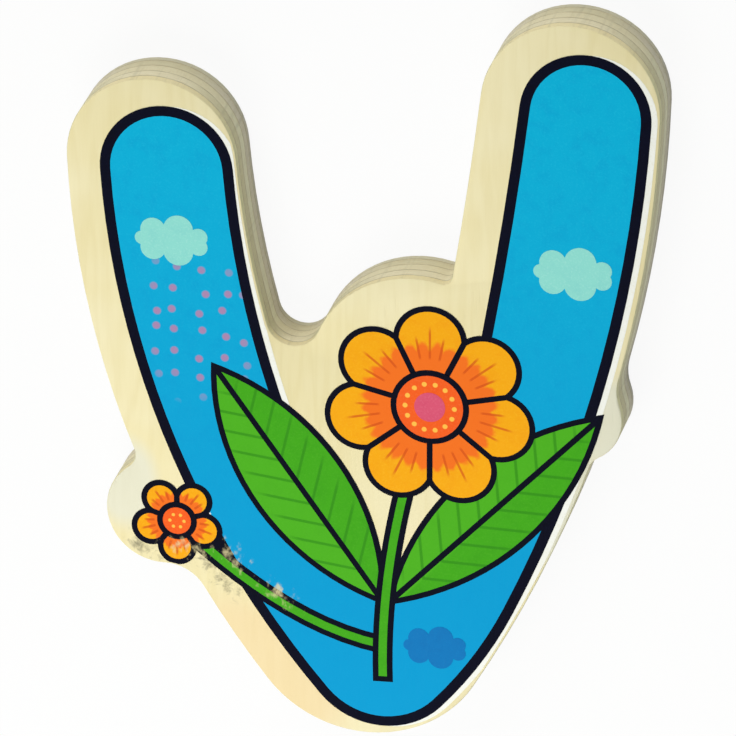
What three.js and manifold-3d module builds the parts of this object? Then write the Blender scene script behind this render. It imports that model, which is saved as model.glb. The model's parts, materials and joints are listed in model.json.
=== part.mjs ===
// A wooden nursery letter: the capital V, sawn from five-ply board and printed on its face.
// Millimetres, +Z up. The letter lies on its back: X to its right, Y to its top, Z out of the printed face.
import * as THREE from "three";
import { mergeVertices } from "three/addons/utils/BufferGeometryUtils.js";
import Module from "manifold-3d";

const wasm = await Module();
wasm.setup();

// Letter: reaches and rises are measured from the centre of its round foot, bows are radii of its long edges.
const FOOT_RADIUS = 10.6;
const LEFT_REACH = 17.95;
const LEFT_RISE = 39.4;
const LEFT_TIP_RADIUS = 7.15;
const LEFT_OUTER_BOW = 79.7;
const LEFT_INNER_BOW = 86;
const RIGHT_REACH = 16.9;
const RIGHT_RISE = 46.8;
const RIGHT_TIP_RADIUS = 7.45;
const RIGHT_OUTER_BOW = 107;
const RIGHT_INNER_BOW = 350;
const CROTCH_REACH = 0.6;
const CROTCH_RISE = 8.5;
const CROTCH_RADIUS = 2.05;

// Middle lobe: it rises between the arms, beside a round notch at the left arm.
const MIDDLE_LOBE_RADIUS = 8.8;
const MIDDLE_LOBE_FILLET = 0.8;
const NOTCH_RADIUS = 2.25;
const NOTCH_RISE = 26.25;
const NOTCH_TO_LOBE_DEGREES = -22;

// Side lobes: each is a disc whose centre lies inside the arm's outer edge.
const LEFT_LOBE_RADIUS = 4.75;
const LEFT_LOBE_RISE = 7.95;
const LEFT_LOBE_INSET = 0.05;
const LEFT_LOBE_UPPER_FILLET = 1.25;
const LEFT_LOBE_LOWER_FILLET = 3.7;
const RIGHT_LOBE_RADIUS = 4;
const RIGHT_LOBE_RISE = 19;
const RIGHT_LOBE_INSET = 2.55;
const RIGHT_LOBE_UPPER_FILLET = 4;
const RIGHT_LOBE_LOWER_FILLET = 1.4;

// Board: five plies, four glue lines between them, and a sanded rim.
const BACK_PLY = 0.75;
const CROSSBAND = 1;
const CORE_PLY = 1.1;
const FACE_PLY = 0.75;
const GLUE_LINE = 0.1;
const RIM_EASE = 0.2;

// Print: its borders to the board's edge, and how far it landed from where it was meant to.
const PRINT_SHIFT_X = 1.27;
const PRINT_SHIFT_Y = -0.71;
const GROUND_SHIFT_X = 0.5;
const LEFT_BORDER = 1.55;
const RIGHT_BORDER = 1.99;
const FOOT_BORDER = 1.54;
const CROTCH_BORDER = 1.85;
const PRINT_TIP_LIFT = 0.29;
const PRINT_RIGHT_BOW = 121.9;
const PRINT_FLANK_BOW = 36.6;
const PRINT_FLANK_FULLNESS = 0.99;
const PRINT_FOOT_REACH = 0.07;
const PRINT_FOOT_RADIUS = 6.79;
const OUTLINE_WIDTH = 0.88;
const KEY_LINE = 0.5;
const INK_FILM = 0.02;

// Picture: a large blossom in the middle lobe, a small one in the left lobe, two leaves and their stems.
const BLOSSOM_RADIUS = 9;
const BLOSSOM_PETALS = 7;
const BLOSSOM_DROP = 1.8;
const BLOSSOM_TURN_DEGREES = 90;
const BLOSSOM_EYE_RADIUS = 2.8;
const BLOSSOM_PIP_RADIUS = 1.3;
const SMALL_BLOSSOM_RADIUS = 4;
const SMALL_BLOSSOM_PETALS = 5;
const SMALL_BLOSSOM_TURN_DEGREES = 126;
const SMALL_BLOSSOM_EYE_RADIUS = 1.2;
const PETAL_OVERLAP = 1.22;
const STEM_WIDTH = 1.7;
const STEM_FOOT_REACH = 0.2;
const STEM_FOOT_RISE = -5;
const STEM_BEND_REACH = -0.2;
const STEM_BEND_RISE = 7;
const SIDE_STEM_START = 0.14;
const SIDE_STEM_BEND_REACH = -8;
const SIDE_STEM_BEND_RISE = -0.6;
const LEAF_ROOT_REACH = 0.4;
const LEAF_ROOT_RISE = 2;
const LEFT_LEAF_TIP_REACH = -14.3;
const LEFT_LEAF_TIP_RISE = 22.6;
const LEFT_LEAF_HALF_WIDTH = 4.4;
const RIGHT_LEAF_OVERREACH = 1.8;
const RIGHT_LEAF_HALF_WIDTH = 3.9;
const CLOUD_PUFFS = 7;
const CLOUD_BULGE = 0.42;
const LEFT_CLOUD = { drop: 6.2, aside: 0.4, halfWidth: 2.9, halfHeight: 1.35 };
const RIGHT_CLOUD = { drop: 13.5, aside: -0.9, halfWidth: 3.1, halfHeight: 1.4 };
const FOOT_CLOUD = { reach: 4.6, rise: -1.4, halfWidth: 2.5, halfHeight: 1.15 };

// Round stretches are cut into chords that stay this close to the true arc.
const CHORD_ERROR = 0.01;

const WOOD_FACE = 0xf0e6b8;
const WOOD_LONG_GRAIN = 0xd8c79a;
const WOOD_END_GRAIN = 0xb9a77e;
const GLUE = 0x8a7250;
const WHITE_INK = 0xf4f3ea;
const SKY_INK = 0x179fd2;
const NAVY_INK = 0x14153a;
const PALE_CLOUD_INK = 0x8fdccd;
const DEEP_CLOUD_INK = 0x0c86c8;
const GREEN_INK = 0x3fa60f;
const GOLD_INK = 0xf6a500;
const ORANGE_INK = 0xf85f18;
const PINK_INK = 0xdc5470;
const WOOD_ROUGHNESS = 0.6;
const INK_ROUGHNESS = 0.45;

const BOARD_THICKNESS = BACK_PLY + CROSSBAND + CORE_PLY + CROSSBAND + FACE_PLY + 4 * GLUE_LINE;
const FULL_TURN = 2 * Math.PI;
const at = (x, y) => new THREE.Vector2(x, y);
const heading = (angle, length = 1) => at(Math.cos(angle), Math.sin(angle)).multiplyScalar(length);

// Arcs: an outline is a ring of arcs, each touching the next, met anticlockwise.
// An arc has a centre and a signed radius, above 0 where it rounds the wood and below 0 where it hollows it.
const arc = (centre, radius) => ({ centre, radius });

// The arc of the given signed radius that runs smoothly from arc a to arc b.
// Side is 1 where its centre lies left of the way from a's centre to b's, and -1 where it lies right.
function arcBetween(a, b, radius, side) {
  const fromA = Math.abs(radius - a.radius);
  const fromB = Math.abs(radius - b.radius);
  const way = b.centre.clone().sub(a.centre);
  const along = (fromA ** 2 - fromB ** 2 + way.lengthSq()) / (2 * way.length());
  const aside = Math.sqrt(fromA ** 2 - along ** 2) * side;
  const ahead = way.normalize();
  const left = at(-ahead.y, ahead.x);
  const centre = a.centre.clone().addScaledVector(ahead, along).addScaledVector(left, aside);
  return arc(centre, radius);
}

// Points along one arc from the start angle through the sweep, without the last.
function arcPoints({ centre, radius }, start, sweep) {
  const step = 2 * Math.acos(1 - CHORD_ERROR / Math.max(Math.abs(radius), CHORD_ERROR));
  const count = Math.max(2, Math.ceil(Math.abs(sweep) / step));
  return Array.from({ length: count }, (_, i) => heading(start + (sweep * i) / count, radius).add(centre));
}

// Points round an outline, moved outwards by growth all the way round.
function outlinePoints(ring, growth = 0) {
  const outwardAngle = (a, b) => a.centre.clone().sub(b.centre).divideScalar(b.radius - a.radius).angle();
  return ring.flatMap((here, i) => {
    const start = outwardAngle(ring.at(i - 1), here);
    const turn = outwardAngle(here, ring[(i + 1) % ring.length]) - start;
    const forward = ((turn % FULL_TURN) + FULL_TURN) % FULL_TURN;
    const sweep = here.radius > 0 ? forward : forward - FULL_TURN;
    return arcPoints(arc(here.centre, here.radius + growth), start, sweep);
  });
}

// The letter's own arcs: its foot, its two tips, the crotch between the arms and the bowed edges that join them.
function letterArcs({ left, right, crotch, foot, lift }) {
  const leftTip = arc(at(-LEFT_REACH, LEFT_RISE), LEFT_TIP_RADIUS - left);
  const rightTip = arc(at(RIGHT_REACH, RIGHT_RISE + lift), RIGHT_TIP_RADIUS - right);
  const hollow = arc(at(CROTCH_REACH, CROTCH_RISE), -CROTCH_RADIUS - crotch);
  return {
    foot,
    rightOuter: arcBetween(foot, rightTip, RIGHT_OUTER_BOW - right, 1),
    rightTip,
    rightInner: arcBetween(rightTip, hollow, -RIGHT_INNER_BOW - right, -1),
    hollow,
    leftInner: arcBetween(hollow, leftTip, -LEFT_INNER_BOW - left, -1),
    leftTip,
    leftOuter: arcBetween(leftTip, foot, LEFT_OUTER_BOW - left, 1),
  };
}

// A lobe on an arm's outer edge, at the given height and as far inside that edge as inset says.
function sideLobe(edge, side, rise, inset, radius) {
  const up = rise - edge.centre.y;
  const out = at(side * Math.sqrt(edge.radius ** 2 - up ** 2), up).normalize();
  return arc(edge.centre.clone().addScaledVector(out, edge.radius - inset), radius);
}

const boardFoot = arc(at(0, 0), FOOT_RADIUS);
const boardLetter = letterArcs({ left: 0, right: 0, crotch: 0, foot: boardFoot, lift: 0 });
const notchAbove = NOTCH_RISE - boardLetter.leftInner.centre.y;
const notchReach = boardLetter.leftInner.radius + NOTCH_RADIUS;
const notchX = boardLetter.leftInner.centre.x - Math.sqrt(notchReach ** 2 - notchAbove ** 2);
const notch = arc(at(notchX, NOTCH_RISE), -NOTCH_RADIUS);
const notchToLobe = heading(THREE.MathUtils.degToRad(NOTCH_TO_LOBE_DEGREES), MIDDLE_LOBE_RADIUS + NOTCH_RADIUS);
const middleLobe = arc(notch.centre.clone().add(notchToLobe), MIDDLE_LOBE_RADIUS);
const leftLobe = sideLobe(boardLetter.leftOuter, -1, LEFT_LOBE_RISE, LEFT_LOBE_INSET, LEFT_LOBE_RADIUS);
const rightLobe = sideLobe(boardLetter.rightOuter, 1, RIGHT_LOBE_RISE, RIGHT_LOBE_INSET, RIGHT_LOBE_RADIUS);
const boardOutline = [
  boardLetter.foot,
  boardLetter.rightOuter,
  arcBetween(boardLetter.rightOuter, rightLobe, -RIGHT_LOBE_LOWER_FILLET, -1),
  rightLobe,
  arcBetween(rightLobe, boardLetter.rightOuter, -RIGHT_LOBE_UPPER_FILLET, -1),
  boardLetter.rightOuter,
  boardLetter.rightTip,
  boardLetter.rightInner,
  arcBetween(boardLetter.rightInner, middleLobe, -MIDDLE_LOBE_FILLET, 1),
  middleLobe,
  notch,
  boardLetter.leftInner,
  boardLetter.leftTip,
  boardLetter.leftOuter,
  arcBetween(boardLetter.leftOuter, leftLobe, -LEFT_LOBE_UPPER_FILLET, -1),
  leftLobe,
  arcBetween(leftLobe, boardLetter.leftOuter, -LEFT_LOBE_LOWER_FILLET, -1),
  boardLetter.leftOuter,
];

// The print's own arcs: its right edge passes clear of its foot, and a tighter flank joins the two.
const printFootRise = FOOT_BORDER - FOOT_RADIUS + PRINT_FOOT_RADIUS;
const printFoot = arc(at(PRINT_FOOT_REACH, printFootRise), PRINT_FOOT_RADIUS);
const printLetter = letterArcs({
  left: LEFT_BORDER,
  right: RIGHT_BORDER,
  crotch: CROTCH_BORDER,
  foot: printFoot,
  lift: PRINT_TIP_LIFT,
});
const passedFoot = arc(printFoot.centre, PRINT_FOOT_RADIUS + PRINT_FLANK_FULLNESS);
const printRightEdge = arcBetween(passedFoot, printLetter.rightTip, PRINT_RIGHT_BOW, 1);
const printFlank = arcBetween(printFoot, printRightEdge, PRINT_FLANK_BOW, -1);
const printOutline = Object.values({ ...printLetter, rightOuter: [printFlank, printRightEdge] }).flat();
const boardBox = new THREE.Box2().setFromPoints(outlinePoints(boardOutline));

// Solids: a geometry as a solid that can be cut and joined, and back.
function solidOf(geometry) {
  const bare = geometry.clone().deleteAttribute("normal").deleteAttribute("uv");
  const merged = mergeVertices(bare);
  const vertProperties = merged.attributes.position.array;
  return new wasm.Manifold(new wasm.Mesh({ numProp: 3, vertProperties, triVerts: Uint32Array.from(merged.index.array) }));
}

function geometryOf(solid) {
  const { vertProperties, triVerts } = solid.getMesh();
  const geometry = new THREE.BufferGeometry();
  geometry.setAttribute("position", new THREE.BufferAttribute(vertProperties, 3));
  geometry.setIndex(new THREE.BufferAttribute(triVerts, 1));
  geometry.computeVertexNormals();
  return geometry;
}

const largestFirst = (solid) => solid.decompose().sort((a, b) => b.volume() - a.volume());

// The largest islands of a solid, as many as there are names for them, from left to right.
function islands(solid, count = 1) {
  const acrossOf = (body) => body.boundingBox().min[0] + body.boundingBox().max[0];
  return largestFirst(solid).slice(0, count).sort((a, b) => acrossOf(a) - acrossOf(b));
}

function piece(name, solid, color, roughness) {
  const mesh = new THREE.Mesh(geometryOf(solid));
  mesh.material = new THREE.MeshStandardMaterial({ color, roughness, metalness: 0 });
  mesh.name = name;
  return mesh;
}

// Board: the blank is sawn and its rims sanded, and each ply or glue line is the slice between its two faces.
function sawnBlank() {
  const shape = new THREE.Shape(outlinePoints(boardOutline));
  const sanded = { bevelSize: RIM_EASE, bevelThickness: RIM_EASE, bevelOffset: -RIM_EASE, bevelSegments: 2 };
  const geometry = new THREE.ExtrudeGeometry(shape, { depth: BOARD_THICKNESS - 2 * RIM_EASE, ...sanded });
  return solidOf(geometry.translate(0, 0, RIM_EASE));
}

function slice(solid, low, high) {
  const { min, max } = solid.boundingBox();
  const spare = BOARD_THICKNESS;
  const size = [max[0] - min[0] + spare, max[1] - min[1] + spare, high - low];
  const slab = new THREE.BoxGeometry(...size);
  slab.translate((min[0] + max[0]) / 2, (min[1] + max[1]) / 2, (low + high) / 2);
  return solid.intersect(solidOf(slab));
}

function boardPieces() {
  const blank = sawnBlank();
  const layers = [
    ["back_ply", BACK_PLY, WOOD_FACE],
    ["back_glue_line", GLUE_LINE, GLUE],
    ["back_crossband", CROSSBAND, WOOD_END_GRAIN],
    ["back_core_glue_line", GLUE_LINE, GLUE],
    ["core_ply", CORE_PLY, WOOD_LONG_GRAIN],
    ["face_core_glue_line", GLUE_LINE, GLUE],
    ["face_crossband", CROSSBAND, WOOD_END_GRAIN],
    ["face_glue_line", GLUE_LINE, GLUE],
    ["face_ply", FACE_PLY, WOOD_FACE],
  ];
  let low = 0;
  return layers.map(([name, thickness, color]) => {
    const ply = slice(blank, low, low + thickness);
    low += thickness;
    return piece(name, ply, color, WOOD_ROUGHNESS);
  });
}

// Print: flat films of ink, one level upon the next, that stop at the board's rim.
const printShift = at(PRINT_SHIFT_X, PRINT_SHIFT_Y);
const faceEdge = outlinePoints(boardOutline, -RIM_EASE).map((point) => point.sub(printShift));

function prism(points, low, high, holes = []) {
  const shape = new THREE.Shape(points);
  shape.holes = holes.map((hole) => new THREE.Path(hole));
  const geometry = new THREE.ExtrudeGeometry(shape, { depth: high - low, bevelEnabled: false });
  return solidOf(geometry.translate(0, 0, low));
}

function film(points, level, holes) {
  const low = BOARD_THICKNESS + level * INK_FILM;
  return prism(points, low, low + INK_FILM, holes);
}

const column = (points) => prism(points, 0, 2 * BOARD_THICKNESS);
const disc = (centre, radius, level) => film(arcPoints(arc(centre, radius), 0, FULL_TURN), level);
const joined = (solids) => solids.reduce((all, next) => all.add(next));
const without = (solid, covers) => covers.reduce((left, cover) => left.subtract(cover), solid);

// A blossom: round petals whose circles cross, parted by dark lines that meet under its eye.
function blossom({ centre, petals, radius, turnDegrees }) {
  const half = Math.PI / petals;
  const turn = THREE.MathUtils.degToRad(turnDegrees);
  const out = radius / (1 + PETAL_OVERLAP * Math.sin(half));
  const round = radius - out;
  const cusp = out * Math.cos(half) + Math.sqrt(round ** 2 - (out * Math.sin(half)) ** 2);
  const cuspAngle = heading(half, cusp).sub(at(out, 0)).angle();
  const inner = round - KEY_LINE;
  const root = KEY_LINE / 2 / Math.sin(half);
  const run = (out - root) * Math.cos(half) + Math.sqrt(inner ** 2 - ((out - root) * Math.sin(half)) ** 2);
  const edge = heading(half, run).add(at(root - out, 0));
  const placed = (points, facing) => points.map((p) => p.rotateAround(at(0, 0), facing).add(centre));
  const facings = Array.from({ length: petals }, (_, i) => turn + 2 * half * i);
  const rim = () => arcPoints(arc(at(out, 0), round), -cuspAngle, 2 * cuspAngle);
  const island = () => [
    at(root, 0),
    ...arcPoints(arc(at(out, 0), inner), -edge.angle(), 2 * edge.angle()),
    edge.clone().add(at(out, 0)),
  ];
  return {
    outline: facings.flatMap((facing) => placed(rim(), facing)),
    petals: facings.map((facing) => placed(island(), facing)),
  };
}

// A leaf: two arcs that meet at its root and its tip, and the two green halves beside its dark midrib.
function leaf({ root, tip, halfWidth }) {
  const way = tip.clone().sub(root);
  const span = way.length();
  const radius = (span ** 2 / 4 + halfWidth ** 2) / (2 * halfWidth);
  const middle = root.clone().add(tip).divideScalar(2);
  const side = (sign, bow, above) => {
    const aside = way.angle() + (sign * Math.PI) / 2;
    const centre = middle.clone().add(heading(aside, halfWidth - radius));
    const reach = Math.acos((radius - halfWidth + above) / bow);
    const points = arcPoints(arc(centre, bow), aside - reach, 2 * reach);
    return [...points, heading(aside + reach, bow).add(centre)];
  };
  return {
    outline: [...side(1, radius, 0).slice(0, -1), ...side(-1, radius, 0).slice(0, -1)],
    halves: [side(1, radius - KEY_LINE, KEY_LINE / 2), side(-1, radius - KEY_LINE, KEY_LINE / 2)],
  };
}

// A stem: a band of even width along a curve, kept short of both its ends by trim.
function band(curve, width, trim) {
  const length = curve.getLength();
  const steps = Math.ceil(length / STEM_WIDTH);
  const stops = Array.from({ length: steps + 1 }, (_, i) => (trim + ((length - 2 * trim) * i) / steps) / length);
  const edge = (aside) =>
    stops.map((stop) => {
      const ahead = curve.getTangentAt(stop);
      return curve.getPointAt(stop).addScaledVector(at(-ahead.y, ahead.x), aside);
    });
  return [...edge(-width / 2), ...edge(width / 2).reverse()];
}

// A cloud: an ellipse whose edge puffs out between evenly spaced points.
function cloud(centre, { halfWidth, halfHeight }) {
  const stop = (i) => {
    const angle = (FULL_TURN * i) / CLOUD_PUFFS;
    return at(halfWidth * Math.cos(angle), halfHeight * Math.sin(angle)).add(centre);
  };
  return Array.from({ length: CLOUD_PUFFS }, (_, i) => {
    const chord = stop(i + 1).sub(stop(i));
    const rise = chord.length() * CLOUD_BULGE;
    const radius = (chord.lengthSq() / 4 + rise ** 2) / (2 * rise);
    const outward = chord.angle() - Math.PI / 2;
    const middle = stop(i).add(stop(i + 1)).divideScalar(2);
    const puff = arc(middle.add(heading(outward, rise - radius)), radius);
    const reach = Math.acos((radius - rise) / radius);
    return arcPoints(puff, outward - reach, 2 * reach);
  }).flat();
}

function printPieces() {
  const GROUND = 0;
  const BASE = 1;
  const COLOUR = 2;
  const EYE_LINE = 3;
  const EYE = 4;
  const PIP = 5;
  const face = column(faceEdge);

  const largeCentre = middleLobe.centre.clone().sub(at(0, BLOSSOM_DROP));
  const largeBlossom = blossom({
    centre: largeCentre,
    petals: BLOSSOM_PETALS,
    radius: BLOSSOM_RADIUS,
    turnDegrees: BLOSSOM_TURN_DEGREES,
  });
  const smallCentre = leftLobe.centre.clone();
  const smallBlossom = blossom({
    centre: smallCentre,
    petals: SMALL_BLOSSOM_PETALS,
    radius: SMALL_BLOSSOM_RADIUS,
    turnDegrees: SMALL_BLOSSOM_TURN_DEGREES,
  });
  const root = at(LEAF_ROOT_REACH, LEAF_ROOT_RISE);
  const leftTip = at(LEFT_LEAF_TIP_REACH, LEFT_LEAF_TIP_RISE);
  const leftLeaf = leaf({ root, tip: leftTip, halfWidth: LEFT_LEAF_HALF_WIDTH });
  const toRightLobe = rightLobe.centre.clone().sub(root).normalize();
  const rightTip = rightLobe.centre.clone().addScaledVector(toRightLobe, RIGHT_LEAF_OVERREACH);
  const rightLeaf = leaf({ root, tip: rightTip, halfWidth: RIGHT_LEAF_HALF_WIDTH });
  const stemFoot = at(STEM_FOOT_REACH, STEM_FOOT_RISE);
  const stemBend = at(STEM_BEND_REACH, STEM_BEND_RISE);
  const stem = new THREE.QuadraticBezierCurve(stemFoot, stemBend, largeCentre);
  const sideBend = at(SIDE_STEM_BEND_REACH, SIDE_STEM_BEND_RISE);
  const sideStem = new THREE.QuadraticBezierCurve(stem.getPoint(SIDE_STEM_START), sideBend, smallCentre);
  const stemEdge = band(stem, STEM_WIDTH, 0);
  const sideStemEdge = band(sideStem, STEM_WIDTH, 0);
  const greenWidth = STEM_WIDTH - 2 * KEY_LINE;

  // Each motif keeps the ground under it clear of the inks below, so every island lies flat on its own base.
  const covers = [];
  const keyShape = (points) => {
    const [visible] = islands(without(film(points, BASE).intersect(face), covers));
    covers.push(column(points));
    return visible;
  };
  const colourShape = (points) => islands(without(film(points, COLOUR).intersect(face), covers))[0];

  const largeKey = keyShape(largeBlossom.outline);
  const smallKey = keyShape(smallBlossom.outline);
  const stemGreen = colourShape(band(stem, greenWidth, KEY_LINE));
  const stemKey = keyShape(stemEdge);
  const leftGreens = leftLeaf.halves.map(colourShape);
  const leftKey = keyShape(leftLeaf.outline);
  const rightGreens = rightLeaf.halves.map(colourShape);
  const rightKey = keyShape(rightLeaf.outline);
  const sideStemGreen = colourShape(band(sideStem, greenWidth, 0));
  const sideStemKey = keyShape(sideStemEdge);
  const letterPoints = outlinePoints(printOutline);
  const skyPoints = outlinePoints(printOutline, -OUTLINE_WIDTH);
  const arms = ["left_arm", "foot", "right_arm"];
  const outlineFilm = without(film(letterPoints, BASE, [skyPoints]).intersect(face), covers);
  const outlines = islands(outlineFilm, arms.length);
  const skies = islands(without(film(skyPoints, BASE).intersect(face), covers), arms.length);

  // The scrap of outline between the small blossom and its stem is one with the stem's dark line.
  const outlineScraps = largestFirst(outlineFilm).slice(arms.length);
  const [sideStemLine] = islands(joined([sideStemKey, ...outlineScraps]));

  const slipped = letterPoints.map((point) => point.clone().add(at(GROUND_SHIFT_X, 0)));
  const motifs = [largeBlossom, smallBlossom, leftLeaf, rightLeaf].map((motif) => motif.outline);
  const backed = [letterPoints, slipped, ...motifs, stemEdge, sideStemEdge];
  const ground = joined(backed.map((points) => film(points, GROUND))).intersect(face);
  const leftCloudAt = at(LEFT_CLOUD.aside - LEFT_REACH, LEFT_RISE - LEFT_CLOUD.drop);
  const rightCloudAt = at(RIGHT_CLOUD.aside + RIGHT_REACH, RIGHT_RISE - RIGHT_CLOUD.drop);
  const footCloudAt = at(FOOT_CLOUD.reach, FOOT_CLOUD.rise);

  const ink = (name, solid, color) => piece(name, solid, color, INK_ROUGHNESS);
  const row = (name, solids, color) => solids.map((solid, i) => ink(name + "_" + (i + 1), solid, color));
  const petalFilms = (flower) => flower.petals.map((petal) => film(petal, COLOUR));
  return [
    ink("white_ground", ground, WHITE_INK),
    ...arms.map((arm, i) => ink("sky_" + arm, skies[i], SKY_INK)),
    ...arms.map((arm, i) => ink("outline_" + arm, outlines[i], NAVY_INK)),
    ink("left_cloud", film(cloud(leftCloudAt, LEFT_CLOUD), COLOUR), PALE_CLOUD_INK),
    ink("right_cloud", film(cloud(rightCloudAt, RIGHT_CLOUD), COLOUR), PALE_CLOUD_INK),
    ink("foot_cloud", film(cloud(footCloudAt, FOOT_CLOUD), COLOUR), DEEP_CLOUD_INK),
    ink("side_stem_line", sideStemLine, NAVY_INK),
    ink("side_stem_green", sideStemGreen, GREEN_INK),
    ink("right_leaf_line", rightKey, NAVY_INK),
    ...row("right_leaf_green", rightGreens, GREEN_INK),
    ink("left_leaf_line", leftKey, NAVY_INK),
    ...row("left_leaf_green", leftGreens, GREEN_INK),
    ink("main_stem_line", stemKey, NAVY_INK),
    ink("main_stem_green", stemGreen, GREEN_INK),
    ink("small_blossom_line", smallKey, NAVY_INK),
    ...row("small_blossom_petal", petalFilms(smallBlossom), GOLD_INK),
    ink("small_blossom_eye_line", disc(smallCentre, SMALL_BLOSSOM_EYE_RADIUS + KEY_LINE, EYE_LINE), NAVY_INK),
    ink("small_blossom_eye", disc(smallCentre, SMALL_BLOSSOM_EYE_RADIUS, EYE), ORANGE_INK),
    ink("large_blossom_line", largeKey, NAVY_INK),
    ...row("large_blossom_petal", petalFilms(largeBlossom), GOLD_INK),
    ink("large_blossom_eye_line", disc(largeCentre, BLOSSOM_EYE_RADIUS + KEY_LINE, EYE_LINE), NAVY_INK),
    ink("large_blossom_eye", disc(largeCentre, BLOSSOM_EYE_RADIUS, EYE), ORANGE_INK),
    ink("large_blossom_pip", disc(largeCentre, BLOSSOM_PIP_RADIUS, PIP), PINK_INK),
  ];
}

// The letter stands centred on its origin, with its back on the ground plane.
const board = new THREE.Group();
board.add(...boardPieces());
const print = new THREE.Group();
print.position.set(PRINT_SHIFT_X, PRINT_SHIFT_Y, 0);
print.add(...printPieces());
const letter = new THREE.Group();
const middle = boardBox.getCenter(at(0, 0));
letter.position.set(-middle.x, -middle.y, 0);
letter.add(board, print);

export default letter;
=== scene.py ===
"""Looks of a printed wooden letter: sawn plywood, a print of flowers on a blue sky, and a pale studio."""

from __future__ import annotations

import json
import logging
import math
from dataclasses import dataclass
from enum import Enum
from functools import cached_property
from typing import Any, Union

import bpy
from mathutils import Matrix, Vector

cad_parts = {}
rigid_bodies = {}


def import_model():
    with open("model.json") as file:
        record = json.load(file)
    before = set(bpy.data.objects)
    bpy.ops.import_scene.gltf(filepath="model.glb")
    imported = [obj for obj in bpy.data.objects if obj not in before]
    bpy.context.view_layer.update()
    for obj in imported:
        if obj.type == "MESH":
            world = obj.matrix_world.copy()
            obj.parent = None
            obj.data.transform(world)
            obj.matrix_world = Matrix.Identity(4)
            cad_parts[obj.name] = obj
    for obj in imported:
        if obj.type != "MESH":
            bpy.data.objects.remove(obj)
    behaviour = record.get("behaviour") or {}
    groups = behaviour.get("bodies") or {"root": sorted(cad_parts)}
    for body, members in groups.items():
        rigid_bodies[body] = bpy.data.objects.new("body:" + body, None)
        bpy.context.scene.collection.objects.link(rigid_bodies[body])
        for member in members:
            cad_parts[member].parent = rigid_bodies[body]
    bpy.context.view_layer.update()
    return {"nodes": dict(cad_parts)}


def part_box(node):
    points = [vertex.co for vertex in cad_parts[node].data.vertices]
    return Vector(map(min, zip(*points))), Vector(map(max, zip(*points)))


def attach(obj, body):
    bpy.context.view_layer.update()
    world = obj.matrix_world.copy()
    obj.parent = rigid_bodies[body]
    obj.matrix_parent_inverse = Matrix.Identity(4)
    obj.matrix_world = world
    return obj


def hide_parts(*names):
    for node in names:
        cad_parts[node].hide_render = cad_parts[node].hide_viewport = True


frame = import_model()

LOG = logging.getLogger("letter")
MM = 0.001
WHITE = (1.0, 1.0, 1.0, 1.0)
Colour = tuple[float, float, float, float]
Point = tuple[float, float, float]
Place = tuple[float, float]
Span = tuple[float, float]
Owner = Union[bpy.types.Material, bpy.types.World]


def ink(code: int) -> Colour:
    """Turns a written colour into the linear values that shaders take.

    Args:
        code: The colour as 0xRRGGBB.

    Returns:
        Linear red, green, blue and a full alpha.
    """
    parts = [((code >> shift) & 255) / 255 for shift in (16, 8, 0)]
    linear = [p / 12.92 if p <= 0.04045 else ((p + 0.055) / 1.055) ** 2.4 for p in parts]
    return (linear[0], linear[1], linear[2], 1.0)


def even(cells: float) -> Point:
    """The same count of cells to the millimetre every way."""
    return (cells, cells, cells)


class Grain(Enum):
    """Which way the fibres of a veneer run."""

    ALONG = "up the letter"
    ACROSS = "from arm to arm"


class Spread(Enum):
    """How a region's strength falls from its middle to its rim."""

    SOFT = 1.0
    FULL = 2.5


@dataclass(frozen=True)
class Texture:
    """Soft noise of one scale.

    Attributes:
        cells: Cells to the millimetre across the fibres, along them and through the board.
        detail: Octaves.
        rough: Strength of the finer octaves.
        warp: Distortion.
    """

    cells: Point
    detail: float
    rough: float
    warp: float = 0.0


FIBRES = Texture((7.0, 0.32, 7.0), 4.0, 0.62)


class Value:
    """A number that changes over a surface: a socket whose operators add Math nodes."""

    def __init__(self, graph: "Graph", socket: bpy.types.NodeSocket) -> None:
        """Wraps one output socket of a graph."""
        self.graph = graph
        self.socket = socket

    def math(self, operation: str, *others: "Number", clamp: bool = False) -> "Value":
        """Adds a Math node with this value first.

        Args:
            operation: The node's operation.
            others: The further operands.
            clamp: Whether the result is held between 0 and 1.

        Returns:
            The node's result.
        """
        operands: dict[Key, Any] = {i: operand for i, operand in enumerate((self, *others))}
        node = self.graph.node("ShaderNodeMath", {"operation": operation, "use_clamp": clamp}, operands)
        return Value(self.graph, node.outputs[0])

    def __add__(self, other: "Number") -> "Value":
        """Adds."""
        return self.math("ADD", other)

    __radd__ = __add__

    def __mul__(self, other: "Number") -> "Value":
        """Multiplies."""
        return self.math("MULTIPLY", other)

    __rmul__ = __mul__

    def __sub__(self, other: "Number") -> "Value":
        """Subtracts."""
        return self.math("SUBTRACT", other)

    def __rsub__(self, other: "Number") -> "Value":
        """Subtracts this value from a number."""
        return (self * -1.0) + other

    def __pow__(self, other: "Number") -> "Value":
        """Raises to a power."""
        return self.math("POWER", other)

    def __abs__(self) -> "Value":
        """Drops the sign."""
        return self.math("ABSOLUTE")

    def held(self) -> "Value":
        """Holds the value between 0 and 1."""
        return self.math("ADD", 0.0, clamp=True)

    def step(self, start: float, end: float) -> "Value":
        """Goes smoothly from 0 to 1, upwards or downwards.

        Args:
            start: The value that gives 0.
            end: The value that gives 1, above or below the start.

        Returns:
            The share of the way from start to end.
        """
        if end < start:
            return 1.0 - self.step(end, start)
        ends: dict[Key, Any] = {"Value": self, "From Min": start, "From Max": end}
        node = self.graph.node("ShaderNodeMapRange", {"interpolation_type": "SMOOTHSTEP"}, ends)
        return Value(self.graph, node.outputs[0])


Number = Union[Value, float]
Key = Union[str, int]


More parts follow.
